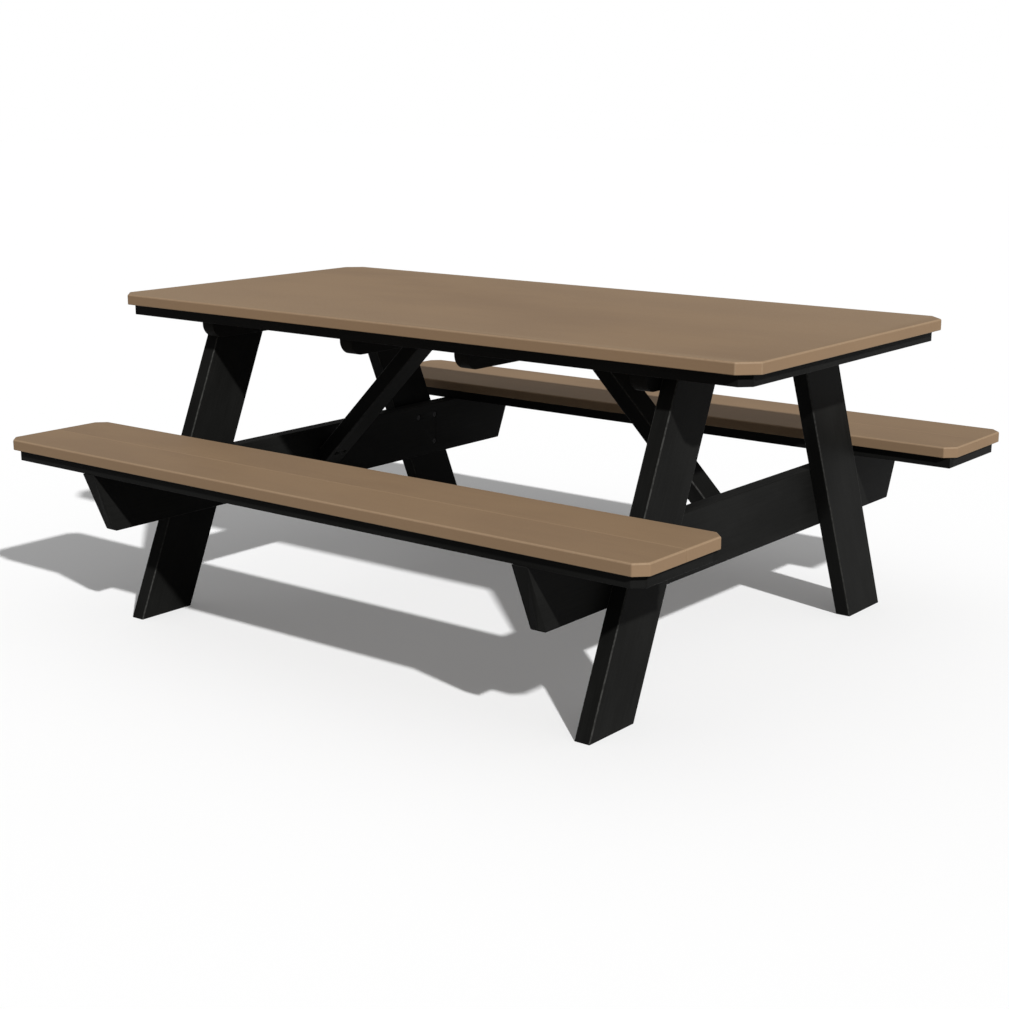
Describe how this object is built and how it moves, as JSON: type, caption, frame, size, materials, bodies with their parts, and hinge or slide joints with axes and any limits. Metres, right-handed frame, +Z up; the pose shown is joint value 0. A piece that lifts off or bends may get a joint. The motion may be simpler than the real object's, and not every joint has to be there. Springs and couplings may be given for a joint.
{
  "type": "picnic table",
  "caption": "Rectangular picnic table of plastic lumber with attached bench seats along both sides, on leaning plank legs with diagonal braces.",
  "frame": {"origin": "middle of the table's footprint, on the floor that the feet stand on", "axes": "+X along the table's length, +Y across it towards the back seat, +Z up"},
  "size_m": [1.829, 1.5762, 0.757],
  "materials": {
    "tan_lumber": "tan plastic lumber, matt, with a fine grained skin",
    "black_lumber": "black plastic lumber, matt, with a slight sheen along its rounded edges",
    "screw": "black-coated stainless steel"
  },
  "bodies": {
    "root": {"table_top": "tan_lumber", "top_trim_front": "black_lumber", "top_trim_back": "black_lumber", "top_trim_left": "black_lumber", "top_trim_right": "black_lumber", "top_cleat_left": "black_lumber", "top_cleat_right": "black_lumber", "centre_cleat_left": "black_lumber", "centre_cleat_right": "black_lumber", "leg_left_front": "black_lumber", "leg_left_back": "black_lumber", "leg_right_front": "black_lumber", "leg_right_back": "black_lumber", "seat_beam_left": "black_lumber", "seat_beam_right": "black_lumber", "brace_left": "black_lumber", "brace_right": "black_lumber", "seat_board_front_outer": "tan_lumber", "seat_board_front_inner": "tan_lumber", "seat_board_back_inner": "tan_lumber", "seat_board_back_outer": "tan_lumber", "seat_trim_front_outer": "black_lumber", "seat_trim_front_inner": "black_lumber", "seat_trim_front_left": "black_lumber", "seat_trim_front_right": "black_lumber", "seat_trim_back_outer": "black_lumber", "seat_trim_back_inner": "black_lumber", "seat_trim_back_left": "black_lumber", "seat_trim_back_right": "black_lumber", "seat_cleat_front_left": "black_lumber", "seat_cleat_front_middle": "black_lumber", "seat_cleat_front_right": "black_lumber", "seat_cleat_back_left": "black_lumber", "seat_cleat_back_middle": "black_lumber", "seat_cleat_back_right": "black_lumber", "leg_beam_screws": "screw", "leg_cleat_screws": "screw", "brace_beam_screws": "screw", "brace_cleat_screws": "screw", "top_screws": "screw", "top_trim_screws": "screw", "seat_trim_screws": "screw", "seat_cleat_screws": "screw", "cleat_beam_screws": "screw"}
  },
  "joints": []
}
